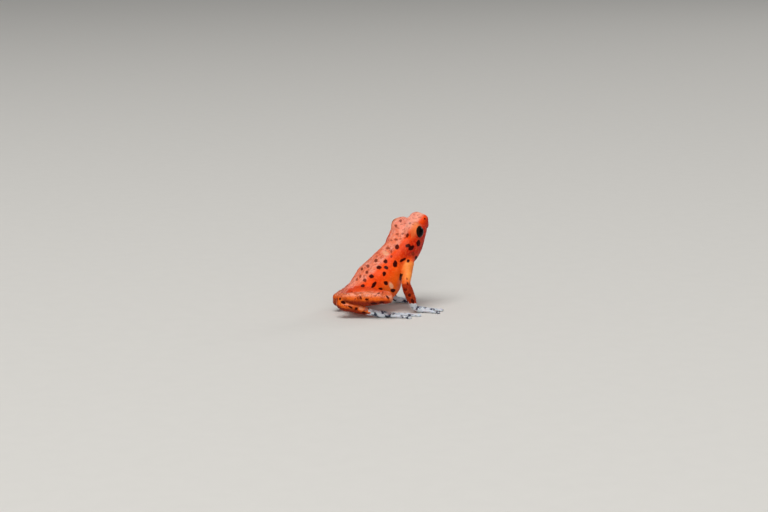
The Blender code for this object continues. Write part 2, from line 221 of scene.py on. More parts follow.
def bodyPlace(points):
    # distance from the vent and angle above the left side, for points on or near the body
    coarse = np.arange(0.0, bodyPlan["length"] + 0.05, 0.15)
    at = coarse[nearestIndex(points, spineAt(coarse, "centre"))[0]]
    at = at + ((points - spineAt(at, "centre")) * spineAt(at, "forward")).sum(axis=1)
    at = np.clip(at, 0.0, bodyPlan["length"])
    offset = points - spineAt(at, "centre")
    across = (offset * spineAt(at, "left")).sum(axis=1)
    over = (offset * spineAt(at, "up")).sum(axis=1)
    return at, np.degrees(np.arctan2(over, across)), across, over


def closedTube(rings, start, end):
    # one closed shape from rings of points and a point at each end
    sides = len(rings[0])
    points = np.vstack([*rings, start, end])
    faces = []
    for i in range(len(rings) - 1):
        for k in range(sides):
            a, b = i * sides + k, i * sides + (k + 1) % sides
            faces.append((a, b, b + sides, a + sides))
    tail = (len(rings) - 1) * sides
    for k in range(sides):
        other = (k + 1) % sides
        faces.append((other, k, len(points) - 2))
        faces.append((tail + k, tail + other, len(points) - 1))
    return points, faces


def bodyShape():
    length, snoutRound, ventRound = (bodyPlan[k] for k in ("length", "snoutRound", "ventRound"))
    turns = np.linspace(0.0, math.pi / 2, 14)[1:]
    places = [ventRound * (1 - math.cos(a)) for a in turns]
    places += list(np.arange(ventRound, length - snoutRound, bodyPlan["step"])[1:])
    places += [length - snoutRound * (1 - math.cos(a)) for a in turns[::-1]]
    angles = np.arange(bodyPlan["sides"]) * 360.0 / bodyPlan["sides"]
    rings = [bodySurface(np.full(len(angles), p), angles) for p in places]
    return closedTube(rings, spineAt(0.0, "centre"), spineAt(length, "centre"))


rightLimbs = {
    "hip": (1.6, -1.2, 2.95),
    "knee": (4.9, -6.1, 3.55),
    "kneeTurn": (4.75, -6.8, 3.3),
    "heel": (-1.2, -2.0, 3.15),
    "heelTurn": (-1.2, -2.3, 2.2),
    "ankle": (2.7, -4.3, 1.0),
    "shoulder": (11.0, -2.55, 7.6),
    "elbow": (9.2, -4.6, 4.8),
    "wrist": (10.9, -4.5, 0.9),
    "handHeading": -5.0,
    "footHeading": -18.0,
    "side": -1,
}
leftLimbs = {
    "hip": (2.3, 1.3, 2.7),
    "knee": (7.4, 5.9, 3.1),
    "kneeTurn": (7.2, 6.6, 2.45),
    "heel": (0.7, 2.3, 2.4),
    "heelTurn": (0.9, 2.6, 1.65),
    "ankle": (4.5, 4.7, 1.0),
    "shoulder": (10.4, 3.05, 8.3),
    "elbow": (10.0, 4.9, 4.9),
    "wrist": (12.1, 3.7, 0.9),
    "handHeading": 5.0,
    "footHeading": 14.0,
    "side": 1,
}
bothSides = (rightLimbs, leftLimbs)
limbPlan = {
    "thigh": (1.4, 1.5, 1.4, 1.12, 0.78),
    "shank": (0.66, 0.8, 0.98, 1.02, 0.88, 0.72),
    "tarsus": (0.64, 0.76, 0.76, 0.68, 0.6),
    "upperArm": (0.95, 0.84, 0.76, 0.7),
    "forearm": (0.7, 0.78, 0.7, 0.52),
    "sides": 28,
    "step": 0.14,
    "places": 40,  # along each limb, where its colours are told apart from the body's
}
limbPaths = {
    "thigh": ("hip", "knee"),
    "shank": ("knee", "kneeTurn", "heel"),
    "tarsus": ("heel", "heelTurn", "ankle"),
    "upperArm": ("shoulder", "elbow"),
    "forearm": ("elbow", "wrist"),
}


def pathOf(limbs, *names):
    # the named joints, with one more point half way along the last stretch
    path = [np.array(limbs[name], float) for name in names]
    return path[:-1] + [(path[-2] + path[-1]) / 2, path[-1]]


def headingOf(degrees):
    return np.array((math.cos(math.radians(degrees)), math.sin(math.radians(degrees)), 0.0))


def limbAlong(path, radii, step=None):
    # middles and half widths at even places along a limb
    path = np.array(path, float)
    knots = runAlong(path)
    count = int(knots[-1] / step) + 3 if step else limbPlan["places"]
    at = np.linspace(0.0, knots[-1], count)
    width = curveThrough(at, np.linspace(0.0, knots[-1], len(radii)), radii)[:, 0]
    return curveThrough(at, knots, path), width


def limbShape(path, radii, sides=limbPlan["sides"], flat=1.0, cap=1.0, step=limbPlan["step"]):
    # round-ended tube along a smooth path
    centre, width = limbAlong(path, radii, step)
    forward = unit(np.gradient(centre, axis=0))
    side = np.cross((0.0, 0.0, 1.0), forward)
    side[np.linalg.norm(side, axis=1) < 0.2] = (0.0, 1.0, 0.0)
    side = unit(side)
    up = np.cross(forward, side)
    turns = np.arange(sides) * 2 * math.pi / sides

    def ring(k, shift, scale):
        middle = centre[k] + forward[k] * shift
        around = side[k] * np.cos(turns)[:, None] + up[k] * (np.sin(turns) * flat)[:, None]
        return middle + around * (width[k] * scale)

    bends = np.linspace(math.pi / 2, 0.0, 7)[1:-1]
    rings = [ring(0, -math.sin(a) * width[0] * cap, math.cos(a)) for a in bends]
    rings += [ring(k, 0.0, 1.0) for k in range(len(centre))]
    rings += [ring(-1, math.sin(a) * width[-1] * cap, math.cos(a)) for a in bends[::-1]]
    start = centre[0] - forward[0] * width[0] * cap
    end = centre[-1] + forward[-1] * width[-1] * cap
    return closedTube(rings, start, end)


def ballShape(centre, sizes, axes, sides, rings):
    # ellipsoid of the given half sizes along three directions
    axes = np.asarray(axes, float)
    turns = np.arange(sides) * 2 * math.pi / sides
    rows = []
    for a in np.linspace(-math.pi / 2, math.pi / 2, rings + 1)[1:-1]:
        local = np.stack(
            [np.cos(turns) * math.cos(a), np.sin(turns) * math.cos(a), np.full(sides, math.sin(a))],
            axis=1,
        )
        rows.append(np.asarray(centre) + (local * sizes) @ axes)
    pole = axes[2] * sizes[2]
    return closedTube(rows, np.asarray(centre) - pole, np.asarray(centre) + pole)


# Direction of each digit from the middle of the sole, and its length
handPlan = {
    "joint": "wrist", "heading": "handHeading",
    "length": 1.3, "halfWidth": 0.75, "halfHeight": 0.5,
    "digits": ((40.0, 1.5), (15.0, 1.9), (-8.0, 2.9), (-38.0, 2.0)),
}
footPlan = {
    "joint": "ankle", "heading": "footHeading",
    "length": 2.6, "halfWidth": 0.62, "halfHeight": 0.54,
    "digits": ((30.0, 1.7), (17.0, 2.4), (7.0, 3.6), (-3.0, 5.0), (-21.0, 3.4)),
}
digitPlan = {
    "radius": 0.27,
    "tip": 0.2,
    "disc": 0.48,
    "discHeight": 0.22,
    "rootDepth": 0.35,  # how deep a digit starts in the sole
    "knuckle": 0.06,
    "groove": 0.04,
    "grooveWidth": 0.07,
    "crease": 0.014,
    "creaseWidth": 0.06,
    "creases": (0.36, 0.42, 0.68, 0.74),  # places, as shares of the digit's length
}
handsAndFeet = [(limbs, plan) for limbs in bothSides for plan in (handPlan, footPlan)]


def knucklesOf(limbs, plan):
    # where the digits leave the sole
    ahead = headingOf(limbs[plan["heading"]]) * plan["length"]
    knuckles = np.array(limbs[plan["joint"]], float) + ahead
    knuckles[2] = plan["halfHeight"] * 0.8
    return knuckles


def digitsOf(limbs, plan):
    # start, middle, end and direction of each digit of a hand or foot
    side, heading = -limbs["side"], limbs[plan["heading"]]
    forward, knuckles = headingOf(heading), knucklesOf(limbs, plan)
    across = np.cross(forward, (0.0, 0.0, 1.0)) * -side
    found = []
    for k, (degrees, length) in enumerate(plan["digits"]):
        share = 1.0 - 2.0 * k / (len(plan["digits"]) - 1)
        ahead = headingOf(heading + side * degrees)
        beside = across * (share * plan["halfWidth"] * 0.7)
        start = knuckles + beside - forward * digitPlan["rootDepth"]
        end = start + ahead * (length + digitPlan["rootDepth"])
        end[2] = digitPlan["discHeight"] * 0.9
        bend = (start + end) / 2
        bend[2] = start[2] * 0.95
        found.append((start, bend, end, ahead))
    return found


def splayedShapes(limbs, plan):
    # hand or foot: the sole, its digits and the disc at the end of each
    root, knuckles = np.array(limbs[plan["joint"]], float), knucklesOf(limbs, plan)
    middle = (root + knuckles) / 2
    middle[2] = plan["halfHeight"] * 1.15
    widths = [plan["halfWidth"] * k for k in (0.85, 1.0, 1.1)]
    flat = plan["halfHeight"] / plan["halfWidth"]
    shapes = [limbShape([root, middle, knuckles], widths, 24, flat, 0.6, 0.1)]
    for start, bend, end, ahead in digitsOf(limbs, plan):
        radii = np.linspace(digitPlan["radius"], digitPlan["tip"], 9)
        radii[[3, 6]] += digitPlan["knuckle"]
        shapes.append(limbShape([start, bend, end], radii, 16, 0.95, 1.0, 0.08))
        beside = np.cross((0.0, 0.0, 1.0), ahead)
        place = end + ahead * (digitPlan["disc"] * 0.4)
        sizes = (digitPlan["disc"], digitPlan["disc"] * 1.06, digitPlan["discHeight"])
        shapes.append(ballShape(place, sizes, (ahead, beside, (0.0, 0.0, 1.0)), 20, 12))
    return shapes


def limbShapes(limbs):
    shapes = [limbShape(pathOf(limbs, *names), limbPlan[k]) for k, names in limbPaths.items()]
    return shapes + splayedShapes(limbs, handPlan) + splayedShapes(limbs, footPlan)


# The eyeballs and the lids over them, with sizes in mm
eyePlan = {
    "at": 15.8,
    "out": 1.85,
    "up": 1.05,
    "look": (0.3, 0.93, 0.14),  # ahead, sideways and up
    "radius": 1.17,
    "cornea": 0.07,
    "corneaEdge": (62.0, 20.0),  # degrees from the axis where its bulge starts and is full
    "lidRadius": 1.63,
    "lidSink": 0.38,
    "opening": (1.19, 1.14),
    "rim": 0.07,  # height of the lids' edge over the eyeball
    "rimDip": 0.3,  # depth of their inner side under it
    "rimWidth": 0.11,  # as a share of the opening
    "lidReach": 1.45,  # where the lids run out, as a share of the opening
    "field": 2.6,  # mm from the eye's centre, beyond which the lids play no part
    "fold": (1.22, 0.05),  # place and width of the upper lid's fold, as shares of the opening
    "foldDepth": 0.035,
}


def eyeAxes(side):
    # centre of the eye and its three directions: along the head, above it and outwards
    forward, left, up = (spineAt(eyePlan["at"], k) for k in ("forward", "left", "up"))
    ahead, across, over = eyePlan["look"]
    out = unit(forward * ahead + left * (side * across) + up * over)
    centre = spineAt(eyePlan["at"], "centre") + left * (side * eyePlan["out"]) + up * eyePlan["up"]
    along = unit(forward - out * np.dot(forward, out))
    above = np.cross(out, along)
    return centre, along, above * np.sign(np.dot(above, up)), out


def lidShapes():
    shapes = []
    for side in (1, -1):
        centre, along, _, out = eyeAxes(side)
        radius = eyePlan["lidRadius"]
        sizes = (radius * 1.05, radius, radius)
        place = centre - out * eyePlan["lidSink"]
        shapes.append(ballShape(place, sizes, (along, np.cross(out, along), out), 48, 30))
    return shapes


def lidRatio(points, side):
    # 1 on the edge of the lids, less over the eye and more outside, and how high above the eye
    centre, along, above, out = eyeAxes(side)
    offset = points - centre
    halfLong, halfHigh = eyePlan["opening"]
    ratio = np.hypot(offset @ along / halfLong, offset @ above / halfHigh)
    far = (offset @ out < 0.0) | (np.linalg.norm(offset, axis=1) > eyePlan["field"])
    return np.where(far, 9.0, ratio), offset @ above


def placeObject(name, data):
    made = bpy.data.objects.new(name, data)
    bpy.context.scene.collection.objects.link(made)
    return made


def meshObject(name, shapes):
    # joins the shapes, which may pass through each other, into one object
    points, faces, count = [], [], 0
    for shapePoints, shapeFaces in shapes:
        points.append(shapePoints)
        faces += [tuple(v + count for v in face) for face in shapeFaces]
        count += len(shapePoints)
    mesh = bpy.data.meshes.new(name)
    mesh.from_pydata(np.vstack(points).tolist(), [], faces)
    return placeObject(name, mesh)


def fuse(made, voxel):
    # one skin round all of the shapes
    remesh = made.modifiers.new("oneSkin", "REMESH")
    remesh.mode = "VOXEL"
    remesh.voxel_size = voxel
    graph = bpy.context.evaluated_depsgraph_get()
    fused = bpy.data.meshes.new_from_object(made.evaluated_get(graph))
    made.modifiers.clear()
    made.data = fused


def valuesOf(items, name, width, kind=np.float64):
    # one row of numbers for each point or edge of a mesh
    values = np.empty(len(items) * width, kind)
    items.foreach_get(name, values)
    return values.reshape(-1, width)


def pointsOf(mesh):
    return valuesOf(mesh.vertices, "co", 3)


def normalsOf(mesh):
    return valuesOf(mesh.vertex_normals, "vector", 3, np.float32).astype(float)


def setPoints(mesh, points):
    mesh.vertices.foreach_set("co", np.ascontiguousarray(points, np.float32).ravel())
    mesh.update()


def setValues(mesh, name, values):
    attribute = mesh.attributes.new(name, "FLOAT", "POINT")
    attribute.data.foreach_set("value", np.ascontiguousarray(values, np.float32))


def smoothMesh(mesh, passes, strength, weight=None, keepSize=True):
    # moves each point towards its neighbours, and with keepSize back out, so that nothing shrinks
    points, edges = pointsOf(mesh), valuesOf(mesh.edges, "vertices", 2, np.int64)
    count = len(points)
    degree = np.bincount(edges.ravel(), minlength=count)[:, None]
    weight = np.ones(count) if weight is None else weight
    for _ in range(passes):
        for amount in (strength, -strength * 1.03) if keepSize else (strength,):
            total = np.stack(
                [
                    np.bincount(edges[:, 0], points[edges[:, 1], k], count)
                    + np.bincount(edges[:, 1], points[edges[:, 0], k], count)
                    for k in range(3)
                ],
                axis=1,
            )
            points += (total / degree - points) * (amount * weight)[:, None]
    setPoints(mesh, points)


def refine(mesh, chosen):
    # splits each face in four where all of its points are chosen
    work = bmesh.new()
    work.from_mesh(mesh)
    work.verts.ensure_lookup_table()
    edges = [e for e in work.edges if chosen[e.verts[0].index] and chosen[e.verts[1].index]]
    bmesh.ops.subdivide_edges(work, edges=edges, cuts=1, use_grid_fill=True)
    work.to_mesh(mesh)
    work.free()
    mesh.update()


# Forms under the skin: rows of distance from the vent and angle above the side, in mm and degrees
formPlan = {
    "ridges": (
        (((1.2, 90.0), (3.0, 90.0), (5.4, 90.0)), 0.07, 0.3, (1,)),  # tail bone
        (((2.4, 38.0), (4.2, 50.0), (5.9, 58.0)), 0.1, 0.34, (1, -1)),  # hip bones
        (((14.6, 30.0), (13.9, 30.0), (13.1, 20.0), (12.3, 2.0)), 0.09, 0.16, (1, -1)),  # over the drum
        (((16.6, 50.0), (17.5, 46.0), (18.5, 42.0)), 0.06, 0.4, (1, -1)),  # edge of the snout
    ),
    "swells": (
        ((10.2, 48.0), 0.12, 0.9),  # shoulder blade
        ((6.3, 40.0), 0.08, 1.0),  # sacrum
        ((12.6, -38.0), 0.1, 0.9),  # throat
    ),
    "bends": (
        ("elbow", "wrist", 1.1),
        ("knee", "hip", 1.2),
        ("heel", "ankle", 0.9),
        ("shoulder", "elbow", 1.5),
    ),
    "foldGap": 0.42,
    "foldHeight": 0.03,
    "uneven": ((1.5, 0.085), (0.55, 0.022)),
}


def ridgeCurve(rows, side):
    # fine points of a line over the body through (distance from the vent, angle) rows
    rows = np.array(rows, float)
    fine = curveThrough(np.linspace(0.0, len(rows) - 1.0, 60), np.arange(len(rows)), rows)
    return onBody(fine[:, 0], fine[:, 1], side)


def bodyRise(points, normals):
    # what bone and muscle raise under the skin, the folds at the joints and a slight unevenness
    rise = np.zeros(len(points))
    for rows, height, width, sides in formPlan["ridges"]:
        for side in sides:
            rise += height * bump(nearestIndex(points, ridgeCurve(rows, side))[1], width)
    for (at, angle), height, width in formPlan["swells"]:
        for side in (1, -1):
            rise += height * bump(gapTo(points, onBody(at, angle, side)), width)
    for limbs in bothSides:
        for joint, towards, reach in formPlan["bends"]:
            place, end = np.array(limbs[joint]), np.array(limbs[towards])
            along = (points - place) @ unit(end - place)
            wave = np.sin(along * 2 * math.pi / formPlan["foldGap"])
            rise += formPlan["foldHeight"] * wave * nearness(points, place, reach)
    for size, height in formPlan["uneven"]:
        rise += [noise.noise(Vector(p / size)) * height for p in points]
    return rise


def shapeEyes(mesh):
    # opens the lids over each eye: they thin out to a rounded edge, which dips under the eyeball
    points = pointsOf(mesh)
    rim = eyePlan["radius"] + eyePlan["rim"]
    under = eyePlan["radius"] - eyePlan["rimDip"]
    foldAt, foldWidth = eyePlan["fold"]
    for side in (1, -1):
        centre = eyeAxes(side)[0]
        ratio, high = lidRatio(points, side)
        offset = points - centre
        distance = np.linalg.norm(offset, axis=1)
        outer = rim + (np.maximum(distance, rim) - rim) * smoothStep(1.0, eyePlan["lidReach"], ratio)
        outer -= eyePlan["foldDepth"] * bump(ratio - foldAt, foldWidth) * smoothStep(-0.3, 0.3, high)
        run = np.clip((ratio - 1.0) / eyePlan["rimWidth"] + 1.0, 0.0, 1.0)
        dip = under + (rim - under) * np.sqrt(1.0 - (1.0 - run) ** 2)
        target = np.where(ratio < 1.0, dip, outer)
        moved = centre + unit(offset) * target[:, None]
        points = np.where((ratio < eyePlan["lidReach"])[:, None], moved, points)
    setPoints(mesh, points)


# Small forms of the face, at distances from the vent and angles above the left side
facePlan = {
    "headFrom": 12.0,
    "mouth": ((13.7, -24.0), (16.5, -24.0), (18.2, -27.0), (19.0, -42.0)),
    "mouthFront": 19.3,
    "mouthDepth": 0.11,
    "mouthWidth": 0.07,
    "lipSwell": 0.03,
    "lipGap": 0.2,  # from the line of the mouth
    "lipWidth": 0.13,
    "chinInset": 0.06,
    "chinWidth": 0.5,
    "nostril": (18.65, 31.0),
    "nostrilSize": 0.13,
    "nostrilDepth": 0.2,
    "nostrilRim": 0.05,
    "drum": (13.9, 14.0),
    "drumSize": 0.5,
    "drumDepth": 0.07,
    "drumRim": 0.02,
}


def mouthCurve():
    # from the left angle of the jaw round under the snout to the right one
    rows = np.array(facePlan["mouth"])
    places = np.linspace(rows[0, 0], rows[-1, 0], 60)
    angle = curveThrough(places, rows[:, 0], rows[:, 1])[:, 0]
    left, right = onBody(places, angle, 1), onBody(places, angle, -1)
    front = bodySurface(facePlan["mouthFront"], -90.0)
    knots = np.vstack([left, front, right[::-1]])
    along = runAlong(knots)
    return curveThrough(np.linspace(0.0, along[-1], 500), along, knots)


def faceRise(points, normals):
    # line of the mouth with its lips, nostrils and ear drums
    plan, rise = facePlan, np.zeros(len(points))
    at = bodyPlace(points)[0]
    head = np.flatnonzero(at > plan["headFrom"])
    curve = mouthCurve()
    best, gap = nearestIndex(points[head], curve)
    above = ((points[head] - curve[best]) * spineAt(at[head], "up")).sum(axis=1)
    # the groove runs out softly behind the angles of the jaw
    start = plan["mouth"][0][0]
    corner = smoothStep(start - 0.1, start + 0.5, at[head])
    lips = plan["lipSwell"] * bump(gap - plan["lipGap"], plan["lipWidth"]) * smoothStep(-0.05, 0.1, above)
    chin = plan["chinInset"] * bump(gap, plan["chinWidth"]) * smoothStep(0.05, -0.1, above)
    groove = plan["mouthDepth"] * bump(gap, plan["mouthWidth"])
    rise[head] += (lips - chin - groove) * corner

    for side in (1, -1):
        gap, size = gapTo(points, onBody(*plan["nostril"], side)), plan["nostrilSize"]
        rim = plan["nostrilRim"] * bump(gap - size * 1.7, size * 0.8)
        rise += rim - plan["nostrilDepth"] * bump(gap, size)
        gap, size = gapTo(points, onBody(*plan["drum"], side)), plan["drumSize"]
        rise += plan["drumRim"] * bump(gap - size * 1.08, 0.1)
        rise -= plan["drumDepth"] * smoothStep(size, size * 0.8, gap)
    return rise


def digitRise(points, normals):
    # a groove between the two pads on top of each disc, and creases at the joints of the digits
    rise = np.zeros(len(points))
    top = smoothStep(0.1, 0.6, normals[:, 2])
    for limbs, plan in handsAndFeet:
        for start, _, end, ahead in digitsOf(limbs, plan):
            beside = np.cross((0.0, 0.0, 1.0), ahead)
            along, across = (points - start) @ ahead, np.abs((points - start) @ beside)
            long = np.linalg.norm(end - start)
            onDigit = (across < 0.6) & (along > 0.3) & (along < long + 1.0) & (points[:, 2] < 1.0)
            groove = digitPlan["groove"] * bump(across, digitPlan["grooveWidth"])
            groove *= smoothStep(long - 0.05, long + 0.2, along)
            creases = sum(bump(along - long * k, digitPlan["creaseWidth"]) for k in digitPlan["creases"])
            rise -= np.where(onDigit, (groove + digitPlan["crease"] * creases) * top, 0.0)
    return rise


# One skin over everything, with sizes in mm. Soft spots have a reach and a strength: there the skin
# runs over from one form to the next in a hollow curve
skinPlan = {
    "voxel": 0.1,
    "evenPasses": 6,
    "softPasses": 70,
    "softJoints": {
        "shoulder": (2.4, 1.0),
        "elbow": (1.4, 0.35),
        "hip": (3.2, 1.0),
        "knee": (1.9, 0.3),
        "heel": (1.4, 0.3),
        "wrist": (1.0, 0.3),
        "ankle": (1.0, 0.35),
    },
    "softThigh": (2.6, 0.5),
    "softKnuckles": (1.2, 0.12),
    "softLid": (3.0, 0.45),
    "softTemple": (1.9, 1.0),
    "temple": (2.1, 0.4),  # how far behind the eye's centre and inwards of it
    "fineEye": 2.1,  # how far round these the mesh is refined
    "fineMouth": 0.4,
    "fineNostril": (0.5, 0.3),
    "fineRim": (0.96, 0.17),  # place and reach, as shares of the lids' opening
    "facePasses": 6,
    "faceReach": 2.6,
}


def raiseSkin(mesh, riseOf):
    # lifts or sinks the skin straight out of its surface
    points, normals = pointsOf(mesh), normalsOf(mesh)
    setPoints(mesh, points + normals * riseOf(points, normals)[:, None])


def softWeight(points):
    # how soft the skin is at each point
    spots = []
    for limbs in bothSides:
        spots += [(limbs[joint], *soft) for joint, soft in skinPlan["softJoints"].items()]
        midThigh = np.array(limbs["hip"]) * 0.5 + np.array(limbs["knee"]) * 0.5
        spots.append((midThigh, *skinPlan["softThigh"]))
        spots += [(knucklesOf(limbs, plan), *skinPlan["softKnuckles"]) for plan in (handPlan, footPlan)]
        centre, along, _, out = eyeAxes(limbs["side"])
        behind, inwards = skinPlan["temple"]
        spots.append((centre - out * eyePlan["lidSink"], *skinPlan["softLid"]))
        spots.append((centre - along * behind - out * inwards, *skinPlan["softTemple"]))
    weight = np.zeros(len(points))
    for place, reach, strength in spots:
        weight = np.maximum(weight, nearness(points, place, reach) * strength)
    return weight


def makeSkin():
    skin = meshObject(
        "frogSkin", [bodyShape(), *lidShapes(), *limbShapes(rightLimbs), *limbShapes(leftLimbs)]
    )
    fuse(skin, skinPlan["voxel"])
    mesh = skin.data
    smoothMesh(mesh, skinPlan["evenPasses"], 0.5)
    smoothMesh(mesh, skinPlan["softPasses"], 0.5, softWeight(pointsOf(mesh)), keepSize=False)
    print("skin fused:", len(mesh.vertices), "points")

    centres = [eyeAxes(side)[0] for side in (1, -1)]
    nostrils = [onBody(*facePlan["nostril"], side) for side in (1, -1)]
    mouth = mouthCurve()
    wide, narrow = skinPlan["fineNostril"]
    regions = ((centres, skinPlan["fineEye"]), (mouth[::8], skinPlan["fineMouth"]), (nostrils, wide))
    refine(mesh, nearAny(pointsOf(mesh), regions))
    points = pointsOf(mesh)
    rimAt, rimReach = skinPlan["fineRim"]
    onRim = np.minimum(*(np.abs(lidRatio(points, side)[0] - rimAt) for side in (1, -1))) < rimReach
    refine(mesh, onRim | nearAny(points, [(nostrils, narrow)]))
    points = pointsOf(mesh)
    face = np.maximum.reduce([nearness(points, c, skinPlan["faceReach"]) for c in centres])
    face = np.maximum(face, smoothStep(0.6, 0.3, nearestIndex(points, mouth[::4])[1]))
    smoothMesh(mesh, skinPlan["facePasses"], 0.5, face)
    raiseSkin(mesh, bodyRise)
    shapeEyes(mesh)
    raiseSkin(mesh, faceRise)
    raiseSkin(mesh, digitRise)
    points = pointsOf(mesh)
    points[:, 2] = np.maximum(points[:, 2], 0.005)  # keeps the soles off the floor
    setPoints(mesh, points)
    print("skin shaped:", len(mesh.vertices), "points", len(mesh.polygons), "faces")
    return skin


# Camera, as the photo was taken
cameraPlan = {
    "yaw": 31.0,
    "pitch": 10.0,
    "distance": 338.0,
    "aim": (0.52, 0.0, 8.71),
    "lens": 100.0,
    "film": 36.0,
    "width": 768,
    "height": 512,
}


def photoDirections():
    # from the frog to the camera, to the right in the picture and up in it
    yaw, pitch = math.radians(cameraPlan["yaw"]), math.radians(cameraPlan["pitch"])
    back = np.array((-math.sin(yaw) * math.cos(pitch), -math.cos(yaw) * math.cos(pitch), math.sin(pitch)))
    right = unit(np.cross((0.0, 0.0, 1.0), back))
    return back, right, np.cross(back, right)


def photoRay(x, y):
    # direction from the camera through a pixel of the photo
    back, right, up = photoDirections()
    pixel = cameraPlan["film"] / cameraPlan["lens"] / cameraPlan["width"]
    across, over = (x - cameraPlan["width"] / 2) * pixel, (cameraPlan["height"] / 2 - y) * pixel
    return unit(right * across + up * over - back)


def cameraPlace():
    back = photoDirections()[0] * cameraPlan["distance"]
    return np.array(cameraPlan["aim"]) + back + (zeroShift, 0.0, 0.0)


# Black marks as they show in the photo: place of the centre in its pixels, half width,
# half height, lean of the top to the right in degrees, and darkness
# two of these are painted shadow: dark lines in the gap between the arm and the flank and along the
# shank's lower edge
marksAndShadowLinesSeen = (
    (395.2, 264.0, 2.1, 3.3, 4, 1.0),  # flank
    (402.6, 260.1, 1.2, 2.8, 58, 1.0),
    (408.3, 261.0, 1.3, 1.3, 0, 0.9),
    (385.5, 261.2, 1.9, 1.8, 0, 0.85),
    (386.0, 267.6, 1.9, 1.6, 0, 0.9),
    (378.8, 267.3, 2.4, 1.7, 0, 0.85),
    (384.4, 274.0, 1.6, 2.1, 10, 1.0),
    (371.7, 276.6, 2.1, 1.9, 0, 1.0),
    # painted shadow: a dark line in the gap between the arm and the flank
    (400.5, 277.2, 1.0, 3.3, 3, 1.0),
    (386.2, 283.3, 2.0, 1.8, 0, 1.0),
    (373.8, 285.0, 1.6, 4.6, 40, 1.0),
    (380.3, 289.8, 2.1, 1.8, 0, 1.0),
    (362.6, 286.3, 1.8, 1.5, 0, 0.8),
    (364.5, 280.2, 1.5, 1.4, 0, 0.65),
    (393.2, 290.6, 2.2, 1.8, 0, 1.0),
    (376.0, 260.6, 1.7, 1.6, 0, 0.65),  # back
    (367.8, 266.0, 1.4, 1.5, 20, 0.6),
    (361.8, 268.8, 1.1, 1.6, 0, 0.65),
    (366.8, 272.6, 1.4, 1.5, 0, 0.65),
    (360.3, 276.6, 1.0, 1.4, 0, 0.55),
    (356.8, 279.2, 1.0, 1.5, 0, 0.5),
    (397.0, 246.8, 2.0, 2.1, 0, 0.75),
    (387.6, 248.3, 1.8, 1.0, 0, 0.5),
    (391.4, 251.6, 0.8, 1.6, 5, 0.5),
    (391.3, 256.6, 0.8, 1.2, 5, 0.6),
    (407.8, 245.8, 2.3, 1.8, 0, 0.9),  # cheek
    (411.4, 247.9, 1.8, 2.9, 55, 1.0),
    (418.6, 243.2, 1.7, 3.1, 5, 1.0),
    (413.0, 253.6, 1.5, 1.8, 0, 0.5),
    (416.2, 258.0, 1.3, 1.6, 0, 0.9),
    (407.2, 235.4, 1.2, 2.0, 12, 0.7),  # nape and crown
    (405.2, 237.8, 1.0, 0.9, 0, 0.45),
    (397.0, 234.0, 1.4, 1.0, 0, 0.45),
    (402.6, 233.8, 1.2, 1.2, 0, 0.45),
    (396.0, 239.4, 1.5, 0.9, 0, 0.5),
    (391.4, 240.3, 1.2, 0.9, 0, 0.45),
    (400.6, 220.6, 0.9, 1.2, 0, 0.55),
    (409.8, 223.2, 1.1, 0.9, 0, 0.45),
    (405.3, 223.4, 1.1, 0.7, 0, 0.3),
    (413.0, 224.6, 1.1, 0.7, 0, 0.35),
    (395.6, 225.6, 1.3, 1.2, 0, 0.6),
    (407.6, 283.6, 0.8, 1.6, 0, 0.7),  # arm
    (407.0, 278.8, 0.8, 1.1, 0, 0.5),
    (409.4, 295.0, 1.4, 1.5, 0, 0.8),
    (412.8, 301.0, 1.3, 2.2, -20, 0.8),
    (405.4, 289.6, 1.5, 0.9, 0, 0.6),
    (387.6, 297.4, 0.9, 3.0, -38, 0.8),  # leg
    (378.6, 293.4, 1.1, 0.8, 0, 0.7),
    (382.6, 292.6, 1.3, 0.7, -50, 0.6),
    (360.8, 298.0, 1.1, 1.6, 0, 0.7),
    (366.6, 299.4, 1.8, 1.0, 10, 0.8),
    # painted shadow along the lower edge of the shank, over the tarsus
    (373.4, 303.8, 3.0, 1.1, 0, 0.9),
    (381.6, 302.4, 2.2, 0.9, 0, 0.8),
    (351.5, 292.5, 0.9, 1.4, 0, 0.4),
    (375.0, 295.6, 1.1, 0.7, 0, 0.4),
    (355.6, 296.4, 0.9, 0.6, 0, 0.4),
    (343.2, 302.4, 2.4, 1.2, 28, 1.0),
    (340.2, 299.0, 1.2, 1.2, 0, 0.8),
    (356.5, 308.6, 1.6, 1.4, 0, 0.9),
    (364.0, 312.6, 2.4, 1.0, 0, 0.9),
    (350.2, 307.0, 2.4, 1.0, 25, 0.9),
)
# Cream patches beside the knee and over the shoulder, in the same form: partly pale skin, partly painted
# highlight where the wet skin glints
creamAndGlintPatchesSeen = (
    (391.2, 285.8, 1.6, 3.0, -28, 0.85),
    (385.8, 253.4, 2.6, 2.2, 0, 0.5),
    (361.4, 308.8, 2.0, 1.0, 0, 0.55),
    (391.6, 298.4, 1.3, 3.0, -12, 0.35),
)
marksDrawn = {
    "size": 1.12,  # the photo's blur hides the edges of a mark
    "longest": 0.62,  # mm, half length of the longest one
    "steepest": -0.45,  # limits how far a mark stretches where the skin turns away
}


def markFrom(place, normal, wide, high):
    # a mark's centre, its surface direction and its two half axes
    return {"place": place, "normal": normal, "wide": wide, "high": high}


